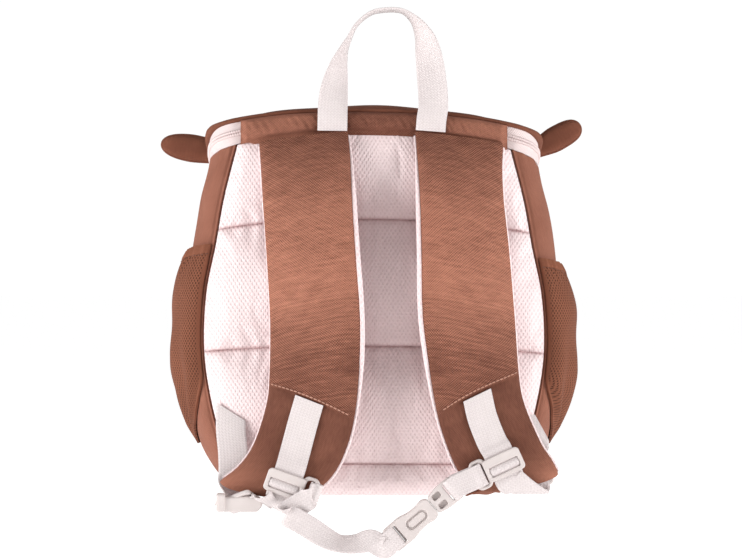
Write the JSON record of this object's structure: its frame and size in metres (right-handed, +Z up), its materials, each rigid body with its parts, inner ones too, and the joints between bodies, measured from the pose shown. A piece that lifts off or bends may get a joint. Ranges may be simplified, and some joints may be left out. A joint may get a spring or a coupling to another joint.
{
  "type": "kids backpack",
  "caption": "Small child's backpack with round zipped bag, quilted mesh back, padded shoulder straps, chest strap with side-release buckle, net side pockets, ear flaps and webbing grab handle.",
  "frame": {"origin": "underside of the grab handle's crown, where a hook or a hand holds the bag", "axes": "+Z up along the hanging bag, +Y from the shoulder straps to the front, +X to the right as one looks at the straps"},
  "size_m": [0.2952, 0.166, 0.3661],
  "materials": {
    "brown_fabric": "plain woven polyester, matt",
    "brown_mesh": "knitted net, matt",
    "pale_mesh": "padded spacer mesh, matt",
    "pale_webbing": "ribbed woven webbing",
    "zip": "woven zip tape with nylon coil",
    "pale_plastic": "satin moulded acetal"
  },
  "bodies": {
    "root": {"body_wall": "brown_fabric", "base_panel": "brown_fabric", "back_panel": "pale_mesh", "top_lid": "brown_fabric", "top_band": "brown_fabric", "zip_tape": "zip", "zip_coil": "zip", "zip_slider": "pale_plastic", "grab_handle": "pale_webbing", "strap_cover_left": "brown_fabric", "strap_cover_right": "brown_fabric", "strap_lining_left": "pale_mesh", "strap_lining_right": "pale_mesh", "strap_webbing_left": "pale_webbing", "strap_webbing_right": "pale_webbing", "strap_lock_left": "pale_plastic", "strap_lock_right": "pale_plastic", "anchor_webbing_left": "pale_webbing", "anchor_webbing_right": "pale_webbing", "ear_left": "brown_fabric", "ear_right": "brown_fabric", "pocket_left": "brown_mesh", "pocket_right": "brown_mesh", "chest_slider_left": "pale_plastic", "chest_slider_right": "pale_plastic", "chest_webbing_left": "pale_webbing", "chest_webbing_right": "pale_webbing", "buckle_socket": "pale_plastic", "buckle_prong": "pale_plastic"}
  },
  "joints": []
}
